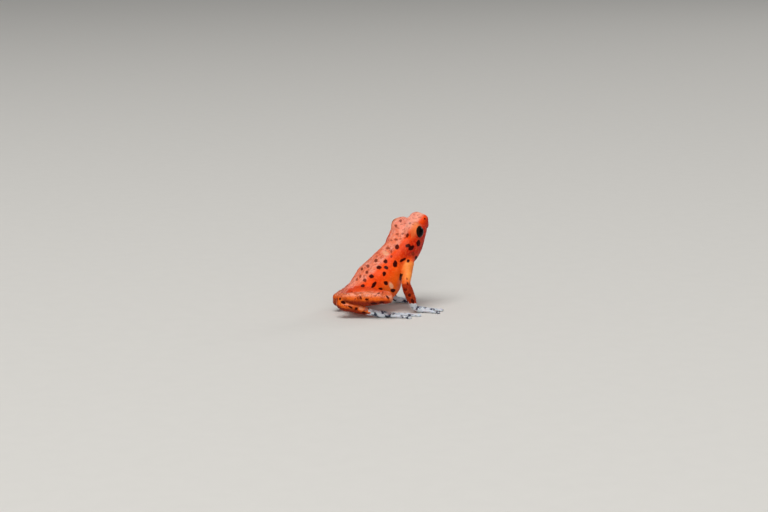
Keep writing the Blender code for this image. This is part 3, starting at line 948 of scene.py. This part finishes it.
def seenMark(surface, x, y, halfWidth, halfHeight, lean):
    # the mark lies on the skin where the photo shows it, stretched as the skin turns away
    eye, ray = cameraPlace(), photoRay(x, y)
    place, normal, _, distance = surface.ray_cast(Vector(eye), Vector(ray))
    if place is None:
        return None
    place, normal = np.array(place), np.array(normal)
    _, right, up = photoDirections()
    size = distance * cameraPlan["film"] / cameraPlan["lens"] / cameraPlan["width"]
    turn, steepest = math.radians(lean), marksDrawn["steepest"]
    axes = []
    for flat, half in (
        (right * math.cos(turn) - up * math.sin(turn), halfWidth),
        (right * math.sin(turn) + up * math.cos(turn), halfHeight),
    ):
        slide = flat - ray * np.dot(flat, normal) / min(np.dot(ray, normal), steepest)
        slide -= normal * np.dot(slide, normal)
        slide *= half * size * marksDrawn["size"]
        long = np.linalg.norm(slide)
        axes.append(slide * min(1.0, marksDrawn["longest"] / long))
    return markFrom(place, normal, *axes)


def markReach(points, mark):
    # how far inside the edge of the mark each point lies, in millimetres, and below 0 outside
    pair = np.stack([mark["wide"], mark["high"]], axis=1)
    inverse = np.linalg.pinv(pair)
    size = math.sqrt(np.linalg.norm(mark["wide"]) * np.linalg.norm(mark["high"]))
    offset = points - mark["place"]
    flat = offset @ inverse.T
    depth = offset @ mark["normal"] / max(size * 2.5, 0.6)
    return (1.0 - np.sqrt((flat**2).sum(axis=1) + depth**2)) * size


# Marks on the sides that the photo doesn't show are scattered like those that it does
marksHidden = {
    "seed": 11,
    "apart": 1.35,
    "lowest": 1.3,
    "bare": (2.1, 0.7, 2.1, 1.2),  # mm round the eyes, nostrils, tip of the snout and front lips
    "turnedAway": 0.35,  # how far a place that the camera could see has to turn away
    "halfSizes": (0.2, 0.36),
    "longest": 1.9,
    "darkness": (0.55, 1.0),
    "tries": 6000,
}


def hiddenMarks(mesh, surface, taken):
    # scattered over what the camera doesn't see, apart from each other and from the feet
    draw = random.Random(marksHidden["seed"])
    points, normals = pointsOf(mesh), normalsOf(mesh)
    eye = cameraPlace()
    places = [mark["place"] for mark in taken]
    bareEye, bareNostril, bareSnout, bareLips = marksHidden["bare"]
    bare = [(eyeAxes(side)[0], bareEye) for side in (1, -1)]
    bare += [(onBody(*facePlan["nostril"], side), bareNostril) for side in (1, -1)]
    bare.append((spineAt(bodyPlan["length"], "centre"), bareSnout))
    bare.append((bodySurface(facePlan["mouthFront"], -90.0), bareLips))
    made = []
    for _ in range(marksHidden["tries"]):
        k = draw.randrange(len(points))
        place, normal = points[k], normals[k]
        gap = gapTo(np.array(places), place).min()
        if gap < marksHidden["apart"] * draw.uniform(0.8, 1.5) or place[2] < marksHidden["lowest"]:
            continue
        if any(np.linalg.norm(place - spot) < reach for spot, reach in bare):
            continue
        ray = unit(place - eye)
        hit = surface.ray_cast(Vector(eye), Vector(ray))[3]
        seen = hit is None or hit > np.linalg.norm(place - eye) - 0.3
        if seen and np.dot(normal, ray) < marksHidden["turnedAway"]:
            continue
        half = draw.uniform(*marksHidden["halfSizes"])
        long = half * draw.uniform(1.0, marksHidden["longest"])
        wide = unit(np.cross(normal, (draw.gauss(0, 1), draw.gauss(0, 1), draw.gauss(0, 1))))
        mark = markFrom(place, normal, wide * half, np.cross(normal, wide) * long)
        mark["darkness"] = draw.uniform(*marksHidden["darkness"])
        made.append(mark)
        places.append(place)
    return made


def paintMarks(mesh, name, marks):
    # for the material: distance inside the nearest mark, and how dark that one is
    points = pointsOf(mesh)
    reach, tone = np.full(len(points), -1.0), np.zeros(len(points))
    for mark in marks:
        near = np.flatnonzero(gapTo(points, mark["place"]) < 2.2)
        value = markReach(points[near], mark)
        better = value > reach[near]
        reach[near[better]] = value[better]
        tone[near[better]] = mark["darkness"]
    setValues(mesh, name + "Reach", reach)
    setValues(mesh, name + "Tone", tone)


# Where the colours of the skin lie: what each zone is part of, its strength, and the measures along
# which it starts and is full. Levels are in degrees above the side, places in mm from the vent,
# gaps and runs in mm, and upward is from -1, facing down, to 1
zonePlan = {
    # the back's pale colour: partly the skin's own, partly painted sheen of the light from above
    "backAndSheenZone": ("offLids", 1.0, ("backLevel", 23.0, 50.0), ("fromAxis", 0.15, 1.2)),
    "bellyZone": ("body", 1.0, ("level", 25.0, -15.0), ("at", 11.5, 8.5)),
    # the pink of the crown: partly the skin's own, partly painted sheen of the light from above
    "crownAndSheenZone": ("body", 0.85, ("at", 13.6, 16.0), ("backLevel", 24.0, 62.0), ("fromAxis", 0.15, 1.2)),
    # deep red on the lower sides of the head and the throat: partly the skin's own, partly painted shade
    "cheekRedAndShadeZone": ("body", 1.0, ("at", 9.0, 12.5), ("level", 50.0, 8.0)),
    "lidZone": ("lids", 0.7),
    "upperArmZone": ("upperArm", 1.0, ("armRun", -0.5, 0.5)),
    "legZone": ("leg", 1.0),
    # painted sheen: the upward sides of the legs are paler, as lit from above
    "legTopSheenZone": ("leg", 0.8, ("upward", 0.2, 0.8)),
    # painted shade on the downward sides of the legs, partly their darker skin
    "underShadeZone": ("leg", 1.0, ("upward", 0.1, -0.5)),
    # painted shade: the upward side over the thigh is darkened against the light from above
    "thighTopShadeZone": ("body", 1.0, ("thighGap", 0.5, 0.1), ("upward", -0.1, 0.5)),
    # dark red forearms: partly the skin's own, partly painted shade
    "forearmRedAndShadeZone": ("arms", 1.0, ("belowElbow", -0.35, 0.25)),
    "greyZone": ("grey", 1.0),
    # painted shade inside the nostrils
    "nostrilShadeZone": ("nostrilShadeShare", 1.0),
}
zoneShape = {
    "blend": 0.22,  # mm, how softly one limb's colour runs into the next
    "leftShift": 24.0,  # the pale colour of the back, partly its own and partly painted sheen, reaches further down on the left
    "lidRing": (1.75, 1.1),  # as a share of the lids' opening
    "lidAbove": (-0.1, 1.0),  # mm over the middle of the eye
    "lidOverBack": 0.4,
    "nostrilShade": (1.5, 0.8),  # as a share of the nostril, where the painted shade inside it starts and is full
    "greyAhead": (-1.0, 0.6),  # mm past the wrist or ankle
    "greyOff": (0.2, 0.6),  # mm off the body, thigh and shank
    "greyHigh": (1.1, 0.3),  # mm over the wrist or ankle
    "greyFar": (6.5, 6.0),  # mm past the knuckles
}


def tubeGap(points, path, radii):
    # distance outside a limb of that path and those radii
    centre, width = limbAlong(path, radii)
    best, gap = nearestIndex(points, centre)
    return gap - width[best]


def paintZones(mesh):
    # how much each point belongs to the back, the cheeks, each kind of limb and the grey feet; some of
    # these zones are painted sheen and some painted shade
    def ramp(name, value, start=0.0):
        low, high = zoneShape[name]
        return smoothStep(start + low, start + high, value)

    points = pointsOf(mesh)
    at, angle, across, over = bodyPlace(points)
    fromAxis = np.hypot(across, over)
    surface = np.linalg.norm(bodySurface(at, angle) - spineAt(at, "centre"), axis=1)
    gaps = {}
    for name, joints in limbPaths.items():
        pair = [tubeGap(points, pathOf(limbs, *joints), limbPlan[name]) for limbs in bothSides]
        gaps[name] = np.minimum(*pair)
    # the thigh has the colours of the flank
    flank = np.minimum(fromAxis - surface, gaps["thigh"])
    stack = (flank, gaps["upperArm"], gaps["forearm"], np.minimum(gaps["shank"], gaps["tarsus"]))
    shares = np.exp(-np.clip(np.stack(stack), -2.0, 3.0) / zoneShape["blend"])
    body, upperArm, forearm, leg = shares / shares.sum(axis=0)

    grey, lids, nostrilShadeShare, belowElbow = np.zeros((4, len(points)))
    armRun = np.full(len(points), -9.0)
    for limbs, plan in handsAndFeet:
        root = np.array(limbs[plan["joint"]])
        ahead = ramp("greyAhead", (points - root) @ headingOf(limbs[plan["heading"]]))
        near = ramp("greyFar", gapTo(points, root), plan["length"])
        grey = np.maximum(grey, ahead * near * ramp("greyHigh", points[:, 2], root[2]))
    grey *= ramp("greyOff", np.minimum(flank, gaps["shank"]))
    for side in (1, -1):
        ratio, high = lidRatio(points, side)
        lids = np.maximum(lids, ramp("lidRing", ratio) * ramp("lidAbove", high))
        gap = gapTo(points, onBody(*facePlan["nostril"], side))
        nostrilShadeShare = np.maximum(nostrilShadeShare, ramp("nostrilShade", gap / facePlan["nostrilSize"]))
    for limbs in bothSides:
        shoulder, elbow, wrist = (np.array(limbs[k]) for k in ("shoulder", "elbow", "wrist"))
        near = points[:, 1] * limbs["side"] > 0.0
        armRun = np.where(near, (points - shoulder) @ unit(elbow - shoulder), armRun)
        upperSide = unit(shoulder - elbow) - unit(wrist - elbow)
        belowElbow = np.where(near, (elbow - points) @ unit(upperSide), belowElbow)

    parts = {
        "body": body, "offLids": body * (1.0 - zoneShape["lidOverBack"] * lids), "lids": body * lids,
        "upperArm": upperArm, "arms": upperArm + forearm, "leg": leg, "grey": grey, "nostrilShadeShare": nostrilShadeShare,
    }
    # angle above the side, the same on the left and right
    level = 90.0 - np.abs(90.0 - np.where(angle < -90.0, angle + 360.0, angle))
    measures = {
        "level": level, "backLevel": level + zoneShape["leftShift"] * np.cos(np.radians(angle)),
        "at": at, "fromAxis": fromAxis, "thighGap": gaps["thigh"], "upward": normalsOf(mesh)[:, 2],
        "armRun": armRun, "belowElbow": belowElbow,
    }
    for name, (part, strength, *ramps) in zonePlan.items():
        values = parts[part] * strength
        for measure, low, high in ramps:
            values = values * smoothStep(low, high, measures[measure])
        setValues(mesh, name, values)


def paintSkin(mesh):
    work = bmesh.new()
    work.from_mesh(mesh)
    surface = BVHTree.FromBMesh(work)
    work.free()
    found = {}
    for name, rows in (("mark", marksAndShadowLinesSeen), ("creamAndGlintPatch", creamAndGlintPatchesSeen)):
        found[name] = []
        for *row, darkness in rows:
            mark = seenMark(surface, *row)
            if mark:
                mark["darkness"] = darkness
                found[name].append(mark)
    found["mark"] += hiddenMarks(mesh, surface, found["mark"])
    for name in found:
        paintMarks(mesh, name, found[name])
    paintZones(mesh)
    print("skin painted:", len(found["mark"]), "marks")


def toFrame(made):
    made.data.transform(Matrix.Scale(mm, 4) @ Matrix.Translation((-zeroShift, 0.0, 0.0)))
    made.data.update()
    made.data.shade_smooth()


def hexColour(code):
    # sRGB hex to linear
    channels = [int(code[k : k + 2], 16) / 255 for k in (1, 3, 5)]
    linear = [c / 12.92 if c <= 0.04045 else ((c + 0.055) / 1.055) ** 2.4 for c in channels]
    return (*linear, 1.0)


def addNode(tree, kind, inputs=(), output=0, **settings):
    # adds a shader node with its settings and gives its output. Its inputs are values or links, by
    # name or number, or in a row in the order of the sockets
    node = tree.nodes.new("ShaderNode" + kind)
    for name, value in settings.items():
        setattr(node, name, value)
    for name, value in inputs.items() if isinstance(inputs, dict) else enumerate(inputs):
        if isinstance(value, bpy.types.NodeSocket):
            tree.links.new(value, node.inputs[name])
        else:
            node.inputs[name].default_value = value
    return node.outputs[output]


def newMaterial(name, settings):
    # principled material with the given values on its own sockets
    made = bpy.data.materials.new(name)
    made.use_nodes = True
    shader = made.node_tree.nodes["Principled BSDF"]
    for socket, value in settings.items():
        shader.inputs[socket].default_value = value
    return made, made.node_tree, shader


def perSize(millimetres):
    # scale of a texture whose pattern has that size
    return 1.0 / (millimetres * mm)


# Moist frog skin: pigment in a clear, finely grained skin under a thin wet film, so its colours
# are deep, light runs a little way into it, and it glints softly where it faces the light
skinLook = {
    "flank": "#F04A05",
    "zones": (
        # partly painted sheen: the back is paler towards its top, as lit from above
        ("backAndSheenZone", "#EC7E5C"),
        # partly painted sheen on the top of the head
        ("crownAndSheenZone", "#F8AC94"),
        ("bellyZone", "#F26510"),
        # partly painted shade on the lower sides of the head and the throat
        ("cheekRedAndShadeZone", "#B81A02"),
        ("lidZone", "#F2904E"),
        ("upperArmZone", "#F59643"),
        ("thighTopShadeZone", "#D83C08"),
        ("legZone", "#E2661A"),
        # painted shade on the upward side over the thigh
        # painted sheen on the upward sides of the legs
        ("legTopSheenZone", "#F08A5C"),
        # painted shade under the legs, partly their darker skin
        ("underShadeZone", "#5A1202"),
        # partly painted shade on the forearms
        ("forearmRedAndShadeZone", "#962806"),
    ),
    # size in mm, detail, colour, strength, and the noise where it starts and where it is full;
    # all but the first two keep to a share of the back and to one zone of the legs, so the pale ones lie
    # mostly in the painted sheen
    "clouds": {
        "uneven": (1.6, 3.0, "#BE2A03", 0.4, 0.38, 0.68),
        "speck": (0.32, 4.0, "#F8793A", 0.3, 0.48, 0.75),
        "brownCloud": (1.0, 3.0, "#8A2604", 0.55, 0.44, 0.58, 0.0, "legZone"),
        "paleCloud": (0.9, 3.0, "#F6AE9C", 0.65, 0.47, 0.62, 0.6, "legTopSheenZone"),
        "paleSpeck": (0.24, 2.0, "#F6AC90", 0.3, 0.54, 0.7, 0.6, "legTopSheenZone"),
        "fleck": (0.4, 2.0, "#761C0C", 0.7, 0.56, 0.63, 0.55, "legZone"),
    },
    "grey": "#C6CBD2",
    "greyNet": "#2C3044",
    "greyNetSize": 0.75,  # mm
    "greyNetEdge": (0.53, 0.61),
    "greyEdge": (0.46, 0.6),
    "greyWander": 0.45,  # how ragged the border of the grey is
    # also the colour of the two painted shadow lines
    "mark": "#320301",
    "paleMark": "#74200F",
    "markSoft": 0.09,  # mm, half the width of a mark's edge
    "markFull": 0.76,  # darkness from which a mark covers the skin
    # partly cream skin, partly painted highlight
    "creamAndGlintColour": "#F0B890",
    "creamAndGlintSoft": 0.22,
    "creamAndGlintFull": 1.0,
    # painted shade inside the nostrils
    "nostrilShade": "#2A0805",
    "wanderSize": 0.55,  # mm, how the edges of marks wander
    "wander": 0.085,  # mm
    "poreSize": 0.06,  # mm
    "grains": ((0.17, 2.5), (0.42, 3.0)),  # size in mm and height against that of the pores
    "grainHeight": 0.015,  # mm
    "roughness": (0.36, 0.54),
    "shine": 0.14,  # specular level of the skin, and of its marks, which stay deep
    "markShine": 0.06,
}


def wetFrogSkin():
    made, tree, shader = newMaterial(
        "wetFrogSkin",
        {
            "IOR": 1.38,
            "Subsurface Weight": 0.1,
            "Subsurface Radius": (1.0, 0.3, 0.12),
            "Subsurface Scale": 0.5 * mm,
            "Coat Weight": 0.05,
            "Coat Roughness": 0.22,
        },
    )
    look, rgba = skinLook, {"output": 2, "data_type": "RGBA"}
    place = addNode(tree, "TexCoord", output="Object")
    names = ("greyZone", "nostrilShadeZone", "creamAndGlintPatchReach", "creamAndGlintPatchTone", "markReach", "markTone")
    names += tuple(zone for zone, _ in look["zones"])
    painted = {name: addNode(tree, "Attribute", output="Fac", attribute_name=name) for name in names}

    # the layers over the flank's colour have a share and a colour each, and a MapRange takes a value
    # from one range to another
    layers = [(painted[zone], hexColour(colour)) for zone, colour in look["zones"]]
    clouds = {}
    for name, (size, detail, colour, strength, low, high, *where) in look["clouds"].items():
        values = {"Vector": place, "Scale": perSize(size), "Detail": detail}
        clouds[name] = addNode(tree, "TexNoise", values)
        share = addNode(tree, "MapRange", (clouds[name], low, high, 0.0, strength))
        if where:
            values = (painted["backAndSheenZone"], where[0], painted[where[1]])
            values = (share, addNode(tree, "Math", values, operation="MULTIPLY_ADD"))
            share = addNode(tree, "Math", values, operation="MULTIPLY")
        layers.append((share, hexColour(colour)))

    # grey feet with a blue-black net
    values = {"Vector": place, "Scale": perSize(look["greyNetSize"]), "Detail": 3.5}
    net, (low, high) = addNode(tree, "TexNoise", values), look["greyNetEdge"]
    share = addNode(tree, "MapRange", (net, low, high, 0.0, 1.0))
    values = {0: share, 6: hexColour(look["grey"]), 7: hexColour(look["greyNet"])}
    grey = addNode(tree, "Mix", values, **rgba)
    ragged, (low, high) = look["greyWander"], look["greyEdge"]
    edge = addNode(tree, "MapRange", (clouds["fleck"], 0.32, 0.68, -ragged, ragged))
    edge = addNode(tree, "Math", (painted["greyZone"], edge), operation="ADD")
    share = addNode(tree, "MapRange", (edge, low, high, 0.0, 1.0))
    layers.append((share, grey))

    # cream patches, partly painted highlight, and black marks, two of them painted shadow lines: painted
    # is how far inside its edge a point lies
    values = {"Vector": place, "Scale": perSize(look["wanderSize"]), "Detail": 1.5}
    wander, far = addNode(tree, "TexNoise", values), look["wander"]
    wander = addNode(tree, "MapRange", (wander, 0.3, 0.7, -far, far))
    dark = addNode(tree, "MapRange", (painted["markTone"], 0.3, 0.95, 0.0, 1.0))
    values = {0: dark, 6: hexColour(look["paleMark"]), 7: hexColour(look["mark"])}
    dark = addNode(tree, "Mix", values, **rgba)
    for name, soft, full, colour in (
        ("creamAndGlintPatch", look["creamAndGlintSoft"], look["creamAndGlintFull"], hexColour(look["creamAndGlintColour"])),
        ("mark", look["markSoft"], look["markFull"], dark),
    ):
        edge = addNode(tree, "Math", (painted[name + "Reach"], wander), operation="ADD")
        values = (edge, -soft, soft, 0.0, 1.0)
        share = addNode(tree, "MapRange", values, interpolation_type="SMOOTHSTEP")
        tone = addNode(tree, "MapRange", (painted[name + "Tone"], 0.0, full, 0.0, 1.0))
        share = addNode(tree, "Math", (share, tone), operation="MULTIPLY")
        layers.append((share, colour))
    values = (share, 0.0, 1.0, look["shine"], look["markShine"])
    tree.links.new(addNode(tree, "MapRange", values), shader.inputs["Specular IOR Level"])
    base = hexColour(look["flank"])
    for share, colour in layers + [(painted["nostrilShadeZone"], hexColour(look["nostrilShade"]))]:
        base = addNode(tree, "Mix", {0: share, 6: base, 7: colour}, **rgba)
    tree.links.new(base, shader.inputs["Base Color"])

    # fine pores, small grains and larger warts, which press each other into cells
    values = {"Vector": place, "Scale": perSize(look["poreSize"]), "Detail": 2.0}
    relief = addNode(tree, "TexNoise", values)
    for size, height in look["grains"]:
        values = {"Vector": place, "Scale": perSize(size)}
        cells = addNode(tree, "TexVoronoi", values, feature="SMOOTH_F1")
        relief = addNode(tree, "Math", (cells, -height, relief), operation="MULTIPLY_ADD")
    values = {"Height": relief, "Distance": look["grainHeight"] * mm, "Strength": 0.9}
    tree.links.new(addNode(tree, "Bump", values), shader.inputs["Normal"])
    low, high = look["roughness"]
    rough = addNode(tree, "MapRange", (clouds["speck"], 0.3, 0.7, low, high))
    tree.links.new(rough, shader.inputs["Roughness"])
    return made


# Frog eye: a very dark iris behind a wet, clear cornea, so it looks black with a sharp glint
eyeLook = {
    "iris": "#140903",
    "irisFleck": "#4A2A10",
    "pupil": "#020101",
    "pupilSize": (0.62, 0.48),  # half width and half height, as a share of the eyeball
    "fleckSize": 0.12,  # mm
}


def makeEye(side):
    # eyeball with the clear bulge of the cornea over its front
    centre, along, above, out = eyeAxes(side)
    sides, rings = 64, 48
    turns = np.arange(sides) * 2 * math.pi / sides
    edge, full = (math.radians(degrees) for degrees in eyePlan["corneaEdge"])
    rows = []
    for a in np.linspace(0.0, math.pi, rings + 1)[1:-1]:
        radius = eyePlan["radius"] + eyePlan["cornea"] * smoothStep(edge, full, a)
        flat = np.cos(turns)[:, None] * along + np.sin(turns)[:, None] * above
        rows.append(centre + (flat * math.sin(a) + out * math.cos(a)) * radius)
    front = centre + out * (eyePlan["radius"] + eyePlan["cornea"])
    back = centre - out * eyePlan["radius"]
    if side > 0:
        rows = [row[::-1] for row in rows]
    made = meshObject("leftEyeball" if side > 0 else "rightEyeball", [closedTube(rows, front, back)])
    # 1 on the edge of the pupil and less inside it
    offset = (pointsOf(made.data) - centre) / eyePlan["radius"]
    halfWide, halfHigh = eyeLook["pupilSize"]
    reach = np.hypot(offset @ along / halfWide, offset @ above / halfHigh)
    setValues(made.data, "pupilReach", np.where(offset @ out > 0.0, reach, 9.0))
    print(made.name, "made")
    return made


def darkEye():
    made, tree, shader = newMaterial(
        "darkEye", {"Roughness": 0.04, "IOR": 1.376, "Specular IOR Level": 0.12}
    )
    look, rgba = eyeLook, {"output": 2, "data_type": "RGBA"}
    place = addNode(tree, "TexCoord", output="Object")
    values = {"Vector": place, "Scale": perSize(look["fleckSize"]), "Detail": 3.0, "Distortion": 1.0}
    streaks = addNode(tree, "TexNoise", values)
    share = addNode(tree, "MapRange", (streaks, 0.5, 0.75, 0.0, 0.5))
    values = {0: share, 6: hexColour(look["iris"]), 7: hexColour(look["irisFleck"])}
    iris = addNode(tree, "Mix", values, **rgba)
    pupil = addNode(tree, "Attribute", output="Fac", attribute_name="pupilReach")
    share = addNode(tree, "MapRange", (pupil, 0.92, 1.08, 1.0, 0.0))
    base = addNode(tree, "Mix", {0: share, 6: iris, 7: hexColour(look["pupil"])}, **rgba)
    tree.links.new(base, shader.inputs["Base Color"])
    return made


# Matt backdrop paper, pressed from fibres, so it is even and dull with the faintest tooth
floorLook = {"paper": "#DAD7D1", "shade": "#D6D3CD", "fibreSize": 3.0}  # size in mm


def mattPaper():
    made, tree, shader = newMaterial("mattPaper", {"Roughness": 0.85, "Specular IOR Level": 0.2})
    place = addNode(tree, "TexCoord", output="Object")
    values = {"Vector": place, "Scale": perSize(floorLook["fibreSize"]), "Detail": 6.0}
    fibres = addNode(tree, "TexNoise", values)
    values = {0: fibres, 6: hexColour(floorLook["paper"]), 7: hexColour(floorLook["shade"])}
    base = addNode(tree, "Mix", values, 2, data_type="RGBA")
    tree.links.new(base, shader.inputs["Base Color"])
    return made


# Places in metres, round the frog
studioPlan = {
    "floorReach": 2.0,
    "aim": (0.0, 0.0, 0.007),
    # name, place, width, watts, and whether it shows in what glints
    "lights": (
        ("skyLight", (-0.4, -0.3, 1.0), 0.7, 8.6, True),
        ("roomLight", (-0.5, -1.0, 0.35), 0.8, 5.0, False),
        ("frontLight", (0.92, 0.2, 0.44), 0.28, 1.1, True),  # for the glint in the eyes
    ),
    "room": "#E4E6E8",
    "roomStrength": 0.3,
}


def makeStudio():
    mesh = bpy.data.meshes.new("studioFloor")
    work = bmesh.new()
    bmesh.ops.create_grid(work, x_segments=8, y_segments=8, size=studioPlan["floorReach"])
    work.to_mesh(mesh)
    work.free()
    mesh.materials.append(mattPaper())
    floor = placeObject("studioFloor", mesh)

    for name, place, size, watts, shows in studioPlan["lights"]:
        lamp = bpy.data.lights.new(name, "AREA")
        lamp.shape = "DISK"
        lamp.size = size
        lamp.energy = watts
        holder = placeObject(name, lamp)
        holder.location = place
        holder.visible_glossy = shows
        toFrog = Vector(studioPlan["aim"]) - Vector(place)
        holder.rotation_euler = toFrog.to_track_quat("-Z", "Y").to_euler()

    world = bpy.data.worlds.new("paleRoom")
    world.use_nodes = True
    sky = world.node_tree.nodes["Background"]
    sky.inputs["Color"].default_value = hexColour(studioPlan["room"])
    sky.inputs["Strength"].default_value = studioPlan["roomStrength"]
    bpy.context.scene.world = world

    back, right, up = photoDirections()
    camera = bpy.data.cameras.new("photoCamera")
    camera.lens = cameraPlan["lens"]
    camera.sensor_width = cameraPlan["film"]
    camera.clip_start = 0.01
    camera.clip_end = 10.0
    holder = placeObject("photoCamera", camera)
    aim = np.array(cameraPlan["aim"])
    holder.location = Vector((aim + back * cameraPlan["distance"]) * mm)
    holder.rotation_euler = Matrix((right, up, back)).transposed().to_euler()
    bpy.context.scene.camera = holder
    bpy.context.scene.view_settings.view_transform = "Standard"
    print("studio set up")


makeStudio()
skin = makeSkin()
eyes = [makeEye(1), makeEye(-1)]
paintSkin(skin.data)
for piece in (skin, *eyes):
    toFrame(piece)
skin.data.materials.append(wetFrogSkin())
for eye in eyes:
    eye.data.materials.append(darkEye())

fleshNodes = [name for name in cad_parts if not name.startswith("eye_")]
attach(skin, "root")
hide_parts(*fleshNodes)
for eye, node in zip(eyes, ("eye_left", "eye_right")):
    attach(eye, "root")
    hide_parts(node)
